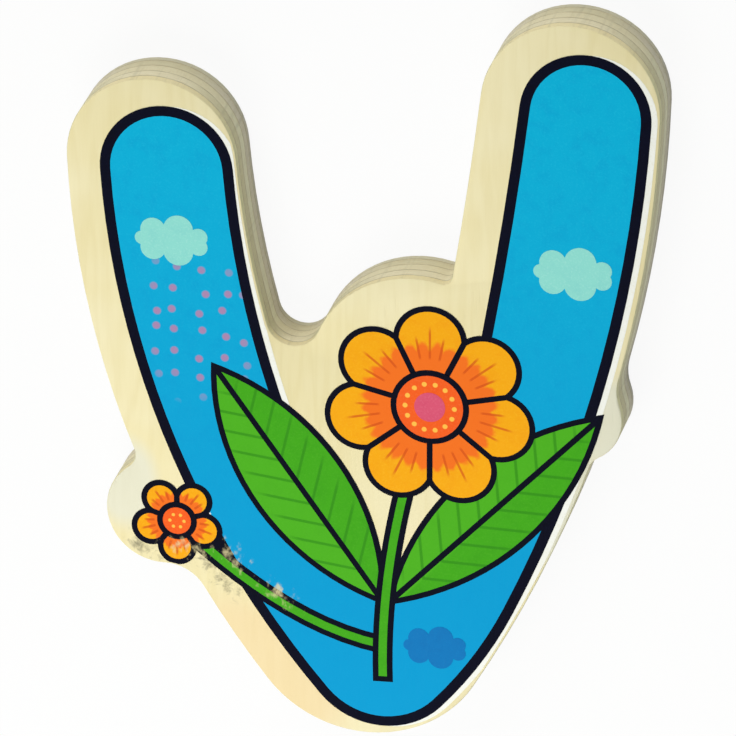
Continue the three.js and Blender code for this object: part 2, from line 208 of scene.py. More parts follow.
class Graph:
    """The node graph of a material or of the world."""

    def __init__(self, owner: Owner) -> None:
        """Empties a node tree.

        Args:
            owner: The material or world that has it.
        """
        self.owner = owner
        owner.use_nodes = True
        self.tree = owner.node_tree
        self.tree.nodes.clear()

    @cached_property
    def coordinates(self) -> bpy.types.Node:
        """The node that tells where a point is."""
        return self.node("ShaderNodeTexCoord")

    @cached_property
    def place(self) -> bpy.types.NodeSocket:
        """The point's place on the letter, in millimetres."""
        scaled = {0: self.coordinates.outputs["Object"], "Scale": 1 / MM}
        return self.node("ShaderNodeVectorMath", {"operation": "SCALE"}, scaled).outputs[0]

    @property
    def normal(self) -> bpy.types.NodeSocket:
        """The way that the surface faces, before any bump."""
        return self.coordinates.outputs["Normal"]

    def node(
        self, kind: str, settings: dict[str, Any] | None = None, sockets: dict[Key, Any] | None = None
    ) -> bpy.types.Node:
        """Adds a node of any kind.

        Args:
            kind: The node's type.
            settings: Its settings, which are set first.
            sockets: Values or links of its inputs, by name or number.

        Returns:
            The node.
        """
        made = self.tree.nodes.new(kind)
        for key, setting in (settings or {}).items():
            setattr(made, key, setting)
        for key, value in (sockets or {}).items():
            source = value.socket if isinstance(value, Value) else value
            if isinstance(source, bpy.types.NodeSocket):
                self.tree.links.new(source, made.inputs[key])
            else:
                made.inputs[key].default_value = source
        return made

    def stretched(self, cells: Point, grain: Grain) -> bpy.types.NodeSocket:
        """The point's place counted in cells, which are drawn out along the fibres.

        Args:
            cells: Cells to the millimetre across the fibres, along them and through the board.
            grain: Which way the fibres run.

        Returns:
            The scaled place.
        """
        across, along, deep = cells
        scale = cells if grain is Grain.ALONG else (along, across, deep)
        node = self.node("ShaderNodeVectorMath", {"operation": "MULTIPLY"}, {0: self.place, 1: scale})
        return node.outputs[0]

    def noise(self, texture: Texture, grain: Grain = Grain.ALONG) -> Value:
        """Adds soft noise.

        Args:
            texture: Its scale and kind.
            grain: Which way the fibres run.

        Returns:
            Noise about one half.
        """
        sockets = {
            "Vector": self.stretched(texture.cells, grain),
            "Scale": 1.0,
            "Detail": texture.detail,
            "Roughness": texture.rough,
            "Distortion": texture.warp,
        }
        return Value(self, self.node("ShaderNodeTexNoise", None, sockets).outputs[0])

    def scatter(self, cells: Point, grain: Grain, stray: float, flat: bool) -> Value:
        """Distance from scattered points.

        Args:
            cells: Points to the millimetre across the fibres, along them and through the board.
            grain: Which way the fibres run.
            stray: How far the points leave their lattice, from 0 to 1.
            flat: Whether the points lie in the face's plane, or fill the wood.

        Returns:
            The distance, in lattice steps.
        """
        settings = {"voronoi_dimensions": "2D" if flat else "3D"}
        sockets = {"Vector": self.stretched(cells, grain), "Scale": 1.0, "Randomness": stray}
        return Value(self, self.node("ShaderNodeTexVoronoi", settings, sockets).outputs["Distance"])

    def parts(self, vector: bpy.types.NodeSocket) -> tuple[Value, Value, Value]:
        """Splits a vector into its three numbers."""
        split = self.node("ShaderNodeSeparateXYZ", None, {0: vector})
        return (Value(self, split.outputs[0]), Value(self, split.outputs[1]), Value(self, split.outputs[2]))

    def polar(self, centre: Place) -> tuple[Value, Value]:
        """Distance and direction on the face, as seen from a point of it.

        Args:
            centre: The point, in millimetres.

        Returns:
            The distance in millimetres and the angle in radians.
        """
        x, y, _ = self.parts(self.place)
        right, up = x - centre[0], y - centre[1]
        return ((right * right + up * up) ** 0.5, up.math("ARCTAN2", right))

    def spoke(self, angle: Value, count: int, turn: float) -> Value:
        """How far an angle lies from the nearest of some even spokes.

        Args:
            angle: The angle, in radians.
            count: How many spokes there are.
            turn: The angle of the first, in radians.

        Returns:
            The angle between them, in radians, never below 0.
        """
        share = (angle - turn) * (count / math.tau) + (count + 0.5)
        return abs(share.math("FRACT") - 0.5) * (math.tau / count)

    def local(self, centre: Place, turn: float, scale: Span) -> tuple[Value, Value]:
        """The point's place on the face in a frame of its own.

        Args:
            centre: The frame's origin, in millimetres.
            turn: How far the frame is turned, in radians.
            scale: Its two units, in millimetres.

        Returns:
            The place along the frame's first and second axis.
        """
        sockets = {
            "Vector": self.place,
            "Location": (*centre, 0.0),
            "Rotation": (0.0, 0.0, turn),
            "Scale": (*scale, 1.0),
        }
        moved = self.node("ShaderNodeMapping", {"vector_type": "TEXTURE"}, sockets)
        along, aside, _ = self.parts(moved.outputs[0])
        return (along, aside)

    def region(self, centre: Place, half: Span, turn: float, spread: Spread) -> Value:
        """An oval on the face, strong in its middle and gone at its rim.

        Args:
            centre: Its middle, in millimetres.
            half: Its half length and half width.
            turn: How far it is turned, in degrees.
            spread: How it falls off.

        Returns:
            Its strength, from 0 to 1.
        """
        along, aside = self.local(centre, math.radians(turn), half)
        reach = (along * along + aside * aside) ** 0.5
        return ((1.0 - reach) * spread.value).held()

    def mix(self, low: Any, high: Any, share: Number) -> bpy.types.NodeSocket:
        """Mixes two colours.

        Args:
            low: The colour or link at share 0.
            high: The colour or link at share 1.
            share: The share of the second.

        Returns:
            The mixed colour.
        """
        settings = {"data_type": "RGBA", "blend_type": "MIX", "clamp_factor": True}
        return self.node("ShaderNodeMix", settings, {0: share, 6: low, 7: high}).outputs[2]

    def bump(self, height: Value, depth: float, strength: float) -> bpy.types.NodeSocket:
        """Turns a height into a normal.

        Args:
            height: The height, from 0 to 1.
            depth: What 1 stands for, in millimetres.
            strength: The share of it that shows.

        Returns:
            The normal.
        """
        sockets = {"Height": height, "Distance": depth * MM, "Strength": strength}
        return self.node("ShaderNodeBump", None, sockets).outputs[0]

    def background(self) -> Value:
        """Finds the rays that show the background: seen straight, mirrored or through glass.

        Returns:
            1 on such a ray, 0 on any other.
        """
        path = self.node("ShaderNodeLightPath")
        rays = [Value(self, path.outputs[f"Is {kind} Ray"]) for kind in ("Camera", "Glossy", "Transmission")]
        return (rays[0] + rays[1] + rays[2]).held()

    def surface(self, sockets: dict[Key, Any]) -> bpy.types.Material:
        """Ends the graph in a Principled shader.

        Args:
            sockets: The shader's values or links.

        Returns:
            The material.
        """
        shader = self.node("ShaderNodeBsdfPrincipled", None, sockets)
        self.node("ShaderNodeOutputMaterial", None, {"Surface": shader.outputs[0]})
        return self.owner


@dataclass(frozen=True)
class Patch:
    """An oval patch of the face.

    Attributes:
        centre: Its middle, in millimetres.
        half: Its half length and half width, in millimetres.
        turn: How far it is turned, in degrees.
    """

    centre: Place
    half: Span
    turn: float

    def reach(self, graph: Graph) -> Value:
        """How strongly the patch shows at a point, from 1 in its middle to 0 at its rim."""
        return graph.region(self.centre, self.half, self.turn, Spread.SOFT)


def strongest(graph: Graph, patches: tuple[Patch, ...]) -> Value:
    """The strongest of several patches at a point.

    Args:
        graph: The graph of the surface.
        patches: The patches.

    Returns:
        How strongly it shows, from 0 to 1.
    """
    reach = patches[0].reach(graph)
    for patch in patches[1:]:
        reach = reach.math("MAXIMUM", patch.reach(graph))
    return reach


@dataclass(frozen=True)
class Tone:
    """A soft change of colour laid over the wood in some patches of the face.

    Attributes:
        colour: The colour that it leans to.
        share: How far it leans.
        patches: Where.
        fade: How the change sets in at the rim of a patch.
    """

    colour: int
    share: float
    patches: tuple[Patch, ...]
    fade: Span = (0.0, 0.45)

    def over(self, graph: Graph, wood: bpy.types.NodeSocket) -> bpy.types.NodeSocket:
        """Lays the tone over the wood.

        Args:
            graph: The wood's graph.
            wood: The wood's colour.

        Returns:
            The changed colour.
        """
        reach = strongest(graph, self.patches).step(*self.fade)
        return graph.mix(wood, ink(self.colour), reach * self.share)


@dataclass(frozen=True)
class Scuff:
    """Wear of the print: ink flaked off beside the small flower, and its dust smudged on the bare wood.

    Attributes:
        flaked: Where ink has flaked off.
        smudged: Where its dust lies.
        flake_grit: The raggedness of the flakes.
        flake_pull: How much a patch adds to it.
        flake_span: From whole ink to bare wood.
        smudge_grit: The raggedness of the smudges.
        smudge_pull: How much a patch adds to it.
        smudge_span: From clean wood to smudged wood.
        fade: How the wear sets in at the rim of a patch.
    """

    flaked: tuple[Patch, ...] = (
        Patch((-14.9, -16.9), (3.0, 1.3), -12.0),
        Patch((-10.8, -17.5), (2.8, 1.5), -48.0),
        Patch((-6.9, -20.4), (3.0, 1.3), -35.0),
    )
    smudged: tuple[Patch, ...] = (
        Patch((-18.4, -17.2), (3.0, 1.4), -25.0),
        Patch((-11.5, -20.0), (2.2, 1.7), -50.0),
        Patch((-13.2, -18.2), (3.2, 1.3), -20.0),
    )
    flake_grit: Texture = Texture((2.04, 1.275, 1.7), 3.0, 0.55, 0.2)
    flake_pull: float = 0.27
    flake_span: Span = (0.62, 0.96)
    smudge_grit: Texture = Texture(even(1.3), 4.0, 0.62, 0.4)
    smudge_pull: float = 0.34
    smudge_span: Span = (0.62, 0.94)
    fade: Span = (0.0, 0.25)

    def flakes(self, graph: Graph) -> Value:
        """Where ink is gone.

        Args:
            graph: The ink's graph.

        Returns:
            1 on bare wood, 0 on whole ink.
        """
        reach = strongest(graph, self.flaked)
        ragged = graph.noise(self.flake_grit) + reach * self.flake_pull
        return ragged.step(*self.flake_span) * reach.step(*self.fade)

    def smudges(self, graph: Graph) -> Value:
        """Where ink dust lies on the bare wood.

        Args:
            graph: The wood's graph.

        Returns:
            1 on smudged wood, 0 on clean wood.
        """
        reach = strongest(graph, self.smudged)
        ragged = graph.noise(self.smudge_grit) + reach * self.smudge_pull
        return ragged.step(*self.smudge_span) * reach.step(*self.fade)


@dataclass(frozen=True)
class VeneerFinish:
    """One ply of pale wood, with its fibres, its figure and its sawn edge.

    Attributes:
        name: The material's name.
        pale: The wood between the growth lines.
        deep: The growth lines.
        sawn: The sawn edge where fibres lie along it; its colour also holds painted shade.
        end: The sawn edge where fibres end on it; its colour also holds painted shade.
        grain: Which way the fibres run.
        figure: How strongly the growth lines show on the flat.
        scuff: The wear, on a face that has the print on it.
        tones: The changes of colour over the flat.
    """

    name: str
    pale: int
    deep: int
    sawn: int
    end: int
    grain: Grain
    figure: float
    scuff: Scuff | None = None
    tones: tuple[Tone, ...] = ()

    # The flat: growth lines, fibres between them, pores, and paler clouds.
    growth: Texture = Texture((0.42, 0.045, 0.42), 2.0, 0.5, 0.35)
    growth_lines: float = 17.0
    growth_sharpness: float = 3.0
    growth_share: float = 0.5
    fibre_level: float = 0.3
    fibre_share: float = 0.9
    pores: Point = (5.5, 0.16, 5.5)
    pore_stray: float = 1.0
    pore_rim: Span = (0.17, 0.06)
    pore_share: float = 0.35
    clouds: Texture = Texture(even(0.11), 2.0, 0.5)
    cloud_span: Span = (0.42, 0.7)
    cloud: int = 0xFFFBE6
    cloud_share: float = 0.16

    # The sawn edge: streaks along the fibres and saw marks through the board.
    wall_tilt: Span = (0.85, 0.35)
    end_tilt: Span = (0.25, 0.9)
    streaks: Texture = Texture((4.5, 0.5, 9.0), 3.0, 0.6)
    streak_span: Span = (0.4, 0.75)
    streak_share: float = 0.3
    saw_marks: Texture = Texture((2.6, 2.6, 0.12), 2.0, 0.5)
    saw_span: Span = (0.5, 0.8)
    saw_mark: int = 0x8F8A72
    saw_share: float = 0.2

    # Dust of the print, relief and gloss.
    dust: int = 0x5E5A48
    dust_share: float = 0.75
    fibre_height: float = 0.6
    pore_height: float = -0.5
    saw_height: float = 1.4
    streak_height: float = 0.8
    relief: float = 0.03
    relief_share: float = 0.55
    rough: float = 0.46
    fibre_rough: float = 0.16
    wall_rough: float = 0.2
    shine: float = 0.15

    def _flat(self, graph: Graph, fibres: Value, pores: Value) -> bpy.types.NodeSocket:
        """The colour of the flat.

        Args:
            graph: The ply's graph.
            fibres: The noise of its fibres.
            pores: 1 in a pore, 0 beside it.

        Returns:
            The colour.
        """
        rings = abs((graph.noise(self.growth, self.grain) * self.growth_lines).math("SINE"))
        lines = (rings ** self.growth_sharpness) * self.growth_share
        lines = lines + (fibres - self.fibre_level) * self.fibre_share
        colour = graph.mix(ink(self.pale), ink(self.deep), lines * self.figure)
        colour = graph.mix(colour, ink(self.end), pores * (self.pore_share * self.figure))
        clouds = graph.noise(self.clouds).step(*self.cloud_span)
        colour = graph.mix(colour, ink(self.cloud), clouds * self.cloud_share)
        for tone in self.tones:
            colour = tone.over(graph, colour)
        return colour

    def _edge(self, graph: Graph, ends: Value, streaks: Value, marks: Value) -> bpy.types.NodeSocket:
        """The colour of the sawn edge.

        Args:
            graph: The ply's graph.
            ends: 1 where fibres end on the edge, 0 where they lie along it; this also picks the wall's
                painted shade by the way it faces.
            streaks: The noise of its streaks.
            marks: The noise of its saw marks.

        Returns:
            The colour.
        """
        colour = graph.mix(ink(self.sawn), ink(self.end), ends)
        colour = graph.mix(colour, ink(self.deep), streaks.step(*self.streak_span) * self.streak_share)
        return graph.mix(colour, ink(self.saw_mark), marks.step(*self.saw_span) * self.saw_share)

    def material(self) -> bpy.types.Material:
        """Builds the finish.

        Returns:
            The material.
        """
        graph = Graph(bpy.data.materials.new(self.name))
        fibres = graph.noise(FIBRES, self.grain)
        pores = graph.scatter(self.pores, self.grain, self.pore_stray, flat=False).step(*self.pore_rim)
        streaks = graph.noise(self.streaks, self.grain)
        marks = graph.noise(self.saw_marks, self.grain)
        across, up, out = graph.parts(graph.normal)
        wall = abs(out).step(*self.wall_tilt)
        # Walls facing sideways and walls facing up the letter take different colours: partly end grain
        # against long grain, partly painted shade that makes the sideways walls of the face plies darker and
        # more olive.
        ends = abs(up if self.grain is Grain.ALONG else across).step(*self.end_tilt)
        colour = graph.mix(self._flat(graph, fibres, pores), self._edge(graph, ends, streaks, marks), wall)
        if self.scuff:
            colour = graph.mix(colour, ink(self.dust), self.scuff.smudges(graph) * self.dust_share)
        height = fibres * self.fibre_height + pores * self.pore_height
        height = height + (marks * self.saw_height + streaks * self.streak_height) * wall
        sockets: dict[Key, Any] = {
            "Base Color": colour,
            "Roughness": fibres * self.fibre_rough + wall * self.wall_rough + self.rough,
            "Normal": graph.bump(height, self.relief, self.relief_share),
            "Specular IOR Level": self.shine,
        }
        return graph.surface(sockets)


@dataclass(frozen=True)
class GlueFinish:
    """A brown glue line, patchy where the plies press it thin.

    Attributes:
        name: The material's name.
        resin: The glue where it lies thick.
        starved: The glue where it is pressed thin.
    """

    name: str = "brown_glue"
    resin: int = 0xC2B594
    starved: int = 0xD8CDAE
    patches: Texture = Texture(even(0.7), 4.0, 0.6)
    starved_span: Span = (0.42, 0.68)
    rough: float = 0.5
    patch_rough: float = 0.2
    relief: float = 0.02
    relief_share: float = 0.4

    def material(self) -> bpy.types.Material:
        """Builds the finish.

        Returns:
            The material.
        """
        graph = Graph(bpy.data.materials.new(self.name))
        patches = graph.noise(self.patches)
        sockets: dict[Key, Any] = {
            "Base Color": graph.mix(ink(self.resin), ink(self.starved), patches.step(*self.starved_span)),
            "Roughness": patches * self.patch_rough + self.rough,
            "Normal": graph.bump(patches, self.relief, self.relief_share),
        }
        return graph.surface(sockets)


@dataclass(frozen=True)
class InkFinish:
    """A flat printed ink that shows the wood's fibres and the rubbed places.

    Attributes:
        name: The material's name.
        body: The ink's colour.
        thick: Its colour where more of it lies.
        thin: Its colour where less of it lies.
        shine: Its specular level.
        bare: The wood under it.
        scuff: Its wear.
    """

    name: str
    body: int
    thick: int
    thin: int
    shine: float = 0.05
    bare: int = 0xE6D8A4
    scuff: Scuff = Scuff()

    # The ink's own unevenness.
    clouds: Texture = Texture(even(0.9), 4.0, 0.6)
    thick_span: Span = (0.42, 0.75)
    thick_share: float = 0.55
    specks: Texture = Texture(even(5.5), 2.0, 0.6)
    thin_span: Span = (0.48, 0.72)
    thin_share: float = 0.4

    # Wear, relief and gloss.
    flake_share: float = 0.8
    grit: Texture = Texture(even(9.0), 2.0, 0.5)
    fibre_height: float = 0.7
    grit_height: float = 0.3
    flake_depth: float = 0.8
    relief: float = 0.02
    relief_share: float = 0.5
    rough: float = 0.35
    fibre_rough: float = 0.14
    flake_rough: float = 0.2

    def coloured(self, graph: Graph) -> bpy.types.NodeSocket:
        """The ink's colour before wear.

        Args:
            graph: The ink's graph.

        Returns:
            The colour.
        """
        thick = graph.noise(self.clouds).step(*self.thick_span)
        thin = graph.noise(self.specks).step(*self.thin_span)
        colour = graph.mix(ink(self.body), ink(self.thick), thick * self.thick_share)
        return graph.mix(colour, ink(self.thin), thin * self.thin_share)

    def material(self) -> bpy.types.Material:
        """Builds the finish.

        Returns:
            The material.
        """
        graph = Graph(bpy.data.materials.new(self.name))
        fibres = graph.noise(FIBRES)
        flakes = self.scuff.flakes(graph) * self.flake_share
        height = fibres * self.fibre_height + graph.noise(self.grit) * self.grit_height
        height = height - flakes * self.flake_depth
        sockets: dict[Key, Any] = {
            "Base Color": graph.mix(self.coloured(graph), ink(self.bare), flakes),
            "Roughness": fibres * self.fibre_rough + flakes * self.flake_rough + self.rough,
            "Normal": graph.bump(height, self.relief, self.relief_share),
            "Specular IOR Level": self.shine,
        }
        return graph.surface(sockets)


@dataclass(frozen=True)
class SkyFinish(InkFinish):
    """The sky: it deepens down the letter, with a drift of pink dots on one arm.

    Attributes:
        low: The colour at the foot.
        deepening: Where the sky starts to deepen and where it is deepest, in millimetres up the letter.
        dot: The colour of the dots.
        dot_cells: Dots to the millimetre.
        drift: The middle of the drift, in millimetres.
        drift_half: Its half length and half width, in millimetres.
        drift_turn: How far it is turned, in degrees.
    """

    low: int = 0x0096CE
    deepening: Span = (26.0, -22.0)
    low_share: float = 0.85
    dot: int = 0xC07AA0
    dot_cells: Point = even(0.5)
    dot_stray: float = 0.5
    dot_rim: Span = (0.2, 0.12)
    dot_share: float = 0.75
    drift: Place = (-13.9, 3.4)
    drift_half: Span = (6.4, 7.6)
    drift_turn: float = 8.0

    def coloured(self, graph: Graph) -> bpy.types.NodeSocket:
        """The sky's colour before wear.

        Args:
            graph: The ink's graph.

        Returns:
            The colour.
        """
        _, up, _ = graph.parts(graph.place)
        depth = up.step(*self.deepening)
        colour = graph.mix(InkFinish.coloured(self, graph), ink(self.low), depth * self.low_share)
        spots = graph.scatter(self.dot_cells, Grain.ALONG, self.dot_stray, flat=True).step(*self.dot_rim)
        dots = spots * graph.region(self.drift, self.drift_half, self.drift_turn, Spread.FULL)
        return graph.mix(colour, ink(self.dot), dots * self.dot_share)


@dataclass(frozen=True)
class PetalFinish(InkFinish):
    """Petals that turn from gold to orange near their flower's eye, each with three drawn creases.

    Attributes:
        centre: The flower's middle, in millimetres.
        radius: Its radius, in millimetres; the spans below are shares of it.
        petals: How many petals it has.
        turn: The way that the first petal points, in radians.
        rays: How many points the orange ring has.
        root: The colour of the ring.
        crease: The colour of the creases.
        crease_width: Their width, in millimetres.
        splay: How far the side creases lie aside, as a share of half a petal.
    """

    centre: Place = (0.0, 0.0)
    radius: float = 1.0
    petals: int = 1
    turn: float = 0.0
    rays: int = 28
    ray_length: float = 0.07
    ragged: Texture = Texture(even(1.3), 3.0, 0.6)
    ragged_length: float = 0.09
    root: int = 0xF4681A
    root_span: Span = (0.6, 0.54)
    root_share: float = 0.9
    crease: int = 0xD2500C
    crease_width: float = 0.2
    crease_rim: Span = (0.65, 0.35)
    crease_start: Span = (0.46, 0.5)
    middle_end: Span = (0.82, 0.72)
    side_end: Span = (0.72, 0.64)
    splay: float = 0.42
    crease_share: float = 0.75

    def coloured(self, graph: Graph) -> bpy.types.NodeSocket:
        """The petals' colour before wear.

        Args:
            graph: The ink's graph.

        Returns:
            The colour.
        """
        distance, angle = graph.polar(self.centre)
        reach = distance * (1 / self.radius)
        rays = abs((angle * (self.rays / 2)).math("SINE"))
        ragged = (graph.noise(self.ragged) - 0.5) * self.ragged_length
        ring = (reach - rays * self.ray_length + ragged).step(*self.root_span)
        colour = graph.mix(InkFinish.coloured(self, graph), ink(self.root), ring * self.root_share)
        aside = graph.spoke(angle, self.petals, self.turn)
        started = reach.step(*self.crease_start)
        middle = self._stroke(distance * aside) * started * reach.step(*self.middle_end)
        beside = abs(aside - self.splay * math.pi / self.petals)
        sides = self._stroke(distance * beside) * started * reach.step(*self.side_end)
        return graph.mix(colour, ink(self.crease), middle.math("MAXIMUM", sides) * self.crease_share)

    def _stroke(self, offset: Value) -> Value:
        """A drawn line, from the distance to its middle in millimetres."""
        return offset.step(*(self.crease_width * share for share in self.crease_rim))


@dataclass(frozen=True)
class EyeFinish(InkFinish):
    """A flower's eye with a ring of pale seeds.

    Attributes:
        centre: The eye's middle, in millimetres.
        ring: The ring's radius, in millimetres.
        seeds: How many seeds it has.
        seed: Their colour.
        seed_radius: Their radius, in millimetres.
    """

    centre: Place = (0.0, 0.0)
    ring: float = 1.0
    seeds: int = 1
    seed: int = 0xFFC64E
    seed_radius: float = 0.2
    seed_rim: Span = (1.2, 0.8)
    seed_share: float = 0.9

    def coloured(self, graph: Graph) -> bpy.types.NodeSocket:
        """The eye's colour before wear.

        Args:
            graph: The ink's graph.

        Returns:
            The colour.
        """
        distance, angle = graph.polar(self.centre)
        aside = graph.spoke(angle, self.seeds, 0.0) * self.ring
        off = distance - self.ring
        offset = (aside * aside + off * off) ** 0.5
        seeds = offset.step(*(self.seed_radius * share for share in self.seed_rim))
        return graph.mix(InkFinish.coloured(self, graph), ink(self.seed), seeds * self.seed_share)


@dataclass(frozen=True)
class LeafFinish(InkFinish):
    """A leaf in two greens, with veins that slant out from its middle line.

    Attributes:
        root: The leaf's root, in millimetres.
        tip: Its tip, in millimetres; the spans below are shares of the length between them.
        veins: How many veins that length has.
        slant: How far a vein runs on as it goes out.
        vein: The colour of the veins.
        lit: The colour of the paler half.
    """

    root: Place = (0.0, 0.0)
    tip: Place = (0.0, 1.0)
    veins: float = 11.0
    slant: float = 0.9
    vein: int = 0x2A8409
    vein_rim: Span = (0.1, 0.04)
    vein_reach: Span = (0.15, 0.1)
    vein_start: Span = (0.06, 0.14)
    vein_end: Span = (0.93, 0.85)
    vein_share: float = 0.7
    lit: int = 0x52B31C
    lit_span: Span = (-0.004, 0.004)
    lit_share: float = 0.55

    def coloured(self, graph: Graph) -> bpy.types.NodeSocket:
        """The leaf's colour before wear.

        Args:
            graph: The ink's graph.

        Returns:
            The colour.
        """
        run, rise = self.tip[0] - self.root[0], self.tip[1] - self.root[1]
        length = math.hypot(run, rise)
        along, aside = graph.local(self.root, math.atan2(rise, run), (length, length))
        lit = aside.step(*self.lit_span)
        colour = graph.mix(InkFinish.coloured(self, graph), ink(self.lit), lit * self.lit_share)
        comb = (along - abs(aside) * self.slant) * self.veins
        stripe = abs(comb.math("FRACT") - 0.5).step(*self.vein_rim)
        inside = along.step(*self.vein_start) * along.step(*self.vein_end)
        inside = inside * abs(aside).step(*self.vein_reach)
        return graph.mix(colour, ink(self.vein), stripe * inside * self.vein_share)


@dataclass(frozen=True)
class FloorFinish:
    """A pale floor that looks white to the camera and keeps a soft shadow.

    Attributes:
        name: The material's name.
        paint: The floor's paint.
        paper: The paint where it is paler.
        shown: How much of the white the camera sees in place of the paint.
    """

    name: str = "pale_floor"
    paint: int = 0xE6E6E2
    paper: int = 0xEEEEEA
    clouds: Texture = Texture(even(0.05), 2.0, 0.5)
    shown: float = 0.92

    def material(self) -> bpy.types.Material:
        """Builds the finish.

        Returns:
            The material.
        """
        graph = Graph(bpy.data.materials.new(self.name))
        colour = graph.mix(ink(self.paint), ink(self.paper), graph.noise(self.clouds))
        matt = graph.node("ShaderNodeBsdfDiffuse", None, {"Color": colour})
        glow = graph.node("ShaderNodeEmission", None, {"Color": WHITE, "Strength": 1.0})
        sockets = {0: graph.background() * self.shown, 1: matt.outputs[0], 2: glow.outputs[0]}
        blend = graph.node("ShaderNodeMixShader", None, sockets)
        graph.node("ShaderNodeOutputMaterial", None, {"Surface": blend.outputs[0]})
        return graph.owner


@dataclass
class PlywoodBoard:
    """The sawn board: five plies and the glue between them.

    Attributes:
        arris: How far a ply's sawn corner is worn back, in millimetres.
        arris_steps: How many faces round it.
        arris_angle: The least angle of a corner that wears, in degrees.
        smooth_angle: The angle up to which the sawn edge shades as one, in degrees.
        weld: How near corners are joined, in millimetres.
        flat_angle: The angle up to which triangles make one flat face, in degrees.
        undercoat_and_glare: A paler, greyer colour on the bare wood of the two lobes and of the lower right
            rim, partly the thin undercoat and partly painted glare.
        warmth: A warmer, darker tint of the face beside the foot.
        plies: The nodes of the plies.
        glue_lines: The nodes of the glue lines.
    """

    arris: float = 0.05
    arris_steps: int = 2
    arris_angle: float = 60.0
    smooth_angle: float = 32.0
    weld: float = 0.002
    flat_angle: float = 0.3
    # Paler, greyer colour on the lobes and the lower right rim: partly the thin undercoat, partly painted
    # glare.
    undercoat_and_glare: Tone = Tone(
        0xDFE1D6,
        0.6,
        (
            Patch((-20.0, -11.5), (3.4, 5.0), 0.0),
            Patch((20.4, -2.2), (3.0, 5.0), -15.0),
            Patch((17.0, -10.2), (7.5, 2.8), 64.0),
        ),
    )
    warmth: Tone = Tone(0xECCF9E, 0.6, (Patch((-7.5, -27.0), (9.5, 5.0), -42.0),))
    plies: tuple[str, ...] = ("back_ply", "back_crossband", "core_ply", "face_crossband", "face_ply")
    glue_lines: tuple[str, ...] = (
        "back_glue_line",
        "back_core_glue_line",
        "face_core_glue_line",
        "face_glue_line",
    )

    def finishes(self) -> dict[str, bpy.types.Material]:
        """Makes the material of each layer.

        Returns:
            The material by node name.
        """
        along, across = Grain.ALONG, Grain.ACROSS
        tones = (self.undercoat_and_glare, self.warmth)
        # The sawn and end colours paint shade as well as grain: on the face ply and face crossband the walls
        # facing sideways are darker and more olive than those facing up the letter.
        veneers = {
            "face_ply": VeneerFinish(
                "face_veneer", 0xEEE1B2, 0xE2D29A, 0xE4DEB6, 0xF2E3B8, along, 0.52, Scuff(), tones
            ),
            "face_crossband": VeneerFinish(
                "face_crossband_veneer", 0xDCC99C, 0xC3AA78, 0xEEE4C6, 0xD8D1B0, across, 0.8
            ),
            "core_ply": VeneerFinish("core_veneer", 0xE2D2A8, 0xCDB588, 0xEAE6CA, 0xE8DEBE, along, 0.8),
            "back_crossband": VeneerFinish(
                "back_crossband_veneer", 0xDCC99C, 0xC3AA78, 0xDCD3B4, 0xDED6C4, across, 0.8
            ),
            "back_ply": VeneerFinish("back_veneer", 0xEFE3B8, 0xDCC78E, 0xD2CDC0, 0xD6D0BA, along, 0.9),
        }
        glue = GlueFinish().material()
        made = {name: veneer.material() for name, veneer in veneers.items()}
        made.update({name: glue for name in self.glue_lines})
        return made

    def copied(self, name: str) -> bpy.types.Object:
        """Copies a layer and joins its loose triangles.

        Args:
            name: The layer's node.

        Returns:
            The copy, at the origin.
        """
        node = frame["nodes"][name]
        bpy.ops.object.select_all(action="DESELECT")
        node.select_set(True)
        bpy.context.view_layer.objects.active = node
        bpy.ops.object.duplicate(linked=False)
        copy = bpy.context.view_layer.objects.active
        bpy.ops.object.parent_clear(type="CLEAR_KEEP_TRANSFORM")
        copy.name = "sawn_" + name
        bpy.ops.object.mode_set(mode="EDIT")
        bpy.ops.mesh.select_all(action="SELECT")
        bpy.ops.mesh.remove_doubles(threshold=self.weld * MM)
        bpy.ops.mesh.dissolve_limited(angle_limit=math.radians(self.flat_angle))
        bpy.ops.object.mode_set(mode="OBJECT")
        return copy

    def worn(self, copy: bpy.types.Object) -> None:
        """Wears back the sharp sawn corners of a ply.

        Args:
            copy: The ply.
        """
        wear = copy.modifiers.new("worn_arris", "BEVEL")
        wear.width = self.arris * MM
        wear.segments = self.arris_steps
        wear.limit_method = "ANGLE"
        wear.angle_limit = math.radians(self.arris_angle)
        bpy.ops.object.modifier_apply(modifier=wear.name)

    def build(self) -> None:
        """Builds and dresses every layer."""
        finishes = self.finishes()
        for name in (*self.plies, *self.glue_lines):
            copy = self.copied(name)
            if name in self.plies:
                self.worn(copy)
            bpy.ops.object.shade_smooth_by_angle(angle=math.radians(self.smooth_angle))
            copy.data.materials.clear()
            copy.data.materials.append(finishes[name])
            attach(copy, "root")
            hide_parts(name)
            LOG.info("%s: %d faces", copy.name, len(copy.data.polygons))


@dataclass(frozen=True)
class Flower:
    """What the drawing of a flower has.

    Attributes:
        start: The start of its nodes' names.
        petals: How many petals it has.
        seeds: How many seeds its eye has.
        seed_ring: The radius of the ring of seeds, as a share of the eye's.
        seed_radius: The radius of a seed, as a share of the eye's.
    """

    start: str
    petals: int
    seeds: int
    seed_ring: float
    seed_radius: float


PRINTED_GROUPS = (
    "sky_",
    "outline_",
    "left_leaf_green",
    "right_leaf_green",
    "large_blossom_petal",
    "small_blossom_petal",
)


